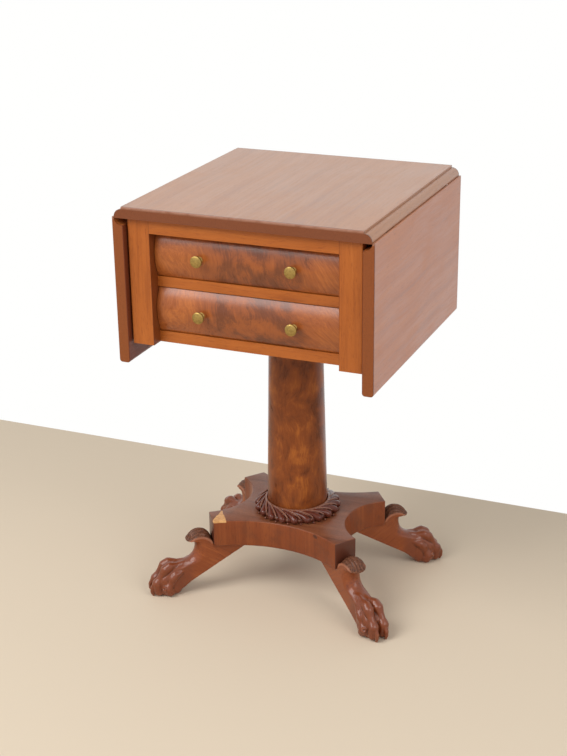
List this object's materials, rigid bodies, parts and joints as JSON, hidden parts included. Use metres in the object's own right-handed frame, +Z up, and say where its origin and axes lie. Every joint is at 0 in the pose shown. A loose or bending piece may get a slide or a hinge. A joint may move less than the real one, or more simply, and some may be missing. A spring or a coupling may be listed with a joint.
{
  "type": "drop-leaf side table",
  "caption": "Drop-leaf side table with drawers in a small case, hanging leaves on rule joints, a tapered column, a carved collar, a hollow-sided platform and paw feet.",
  "frame": {"origin": "on the floor, under the middle of the column", "axes": "+Z up, the drawers face -Y, the leaves hang at -X (left) and +X (right)"},
  "size_m": [0.459, 0.446, 0.73],
  "materials": {
    "top_mahogany": "worn satin polish",
    "case_mahogany": "satin polish",
    "figured_veneer": "figured veneer, glossy polish",
    "carved_mahogany": "satin polish",
    "plain_wood": "bare planed wood",
    "knob_brass": "dull aged brass",
    "iron": "dark aged iron"
  },
  "bodies": {
    "stand": {"platform": "carved_mahogany", "leg_dowels": "plain_wood", "front_right_leg": "carved_mahogany", "rear_right_leg": "carved_mahogany", "rear_left_leg": "carved_mahogany", "front_left_leg": "carved_mahogany", "column": "figured_veneer", "column_collar": "carved_mahogany", "column_cleat": "plain_wood", "cleat_screws": "iron", "front_left_post": "case_mahogany", "front_right_post": "case_mahogany", "rear_left_post": "case_mahogany", "rear_right_post": "case_mahogany", "top_rail": "case_mahogany", "drawer_divider": "case_mahogany", "bottom_rail": "case_mahogany", "back_panel": "case_mahogany", "left_side_panel": "case_mahogany", "right_side_panel": "case_mahogany", "left_fly_bracket": "case_mahogany", "right_fly_bracket": "case_mahogany", "fly_pins": "iron", "case_floor": "plain_wood", "lower_runners": "plain_wood", "upper_runners": "plain_wood", "drawer_guides": "plain_wood", "drawer_stops": "plain_wood", "drawer_kickers": "plain_wood", "top_screws": "iron", "top_board": "top_mahogany", "left_hinge_top_plates": "iron", "right_hinge_top_plates": "iron", "left_hinge_pins": "iron", "right_hinge_pins": "iron", "left_top_plate_screws": "iron", "right_top_plate_screws": "iron"},
    "left_leaf": {"left_leaf": "top_mahogany", "left_hinge_leaf_plates": "iron", "left_leaf_plate_screws": "iron"},
    "right_leaf": {"right_leaf": "top_mahogany", "right_hinge_leaf_plates": "iron", "right_leaf_plate_screws": "iron"},
    "upper_drawer": {"upper_drawer_front": "figured_veneer", "upper_drawer_left_side": "plain_wood", "upper_drawer_right_side": "plain_wood", "upper_drawer_back": "plain_wood", "upper_drawer_bottom": "plain_wood", "upper_drawer_knobs": "knob_brass", "upper_drawer_knob_nuts": "knob_brass"},
    "lower_drawer": {"lower_drawer_front": "figured_veneer", "lower_drawer_left_side": "plain_wood", "lower_drawer_right_side": "plain_wood", "lower_drawer_back": "plain_wood", "lower_drawer_bottom": "plain_wood", "lower_drawer_knobs": "knob_brass", "lower_drawer_knob_nuts": "knob_brass"}
  },
  "joints": [
    {"name": "left_leaf_lift", "type": "hinge", "parent": "stand", "child": "left_leaf", "pos_m": [-0.2035, 0, 0.713], "axis": [0, 1, 0], "range_deg": [0, 90]},
    {"name": "right_leaf_lift", "type": "hinge", "parent": "stand", "child": "right_leaf", "pos_m": [0.2035, 0, 0.713], "axis": [0, -1, 0], "range_deg": [0, 90]},
    {"name": "upper_drawer_slide", "type": "slide", "parent": "stand", "child": "upper_drawer", "axis": [0, -1, 0], "range_m": [0, 0.26]},
    {"name": "lower_drawer_slide", "type": "slide", "parent": "stand", "child": "lower_drawer", "axis": [0, -1, 0], "range_m": [0, 0.26]}
  ]
}
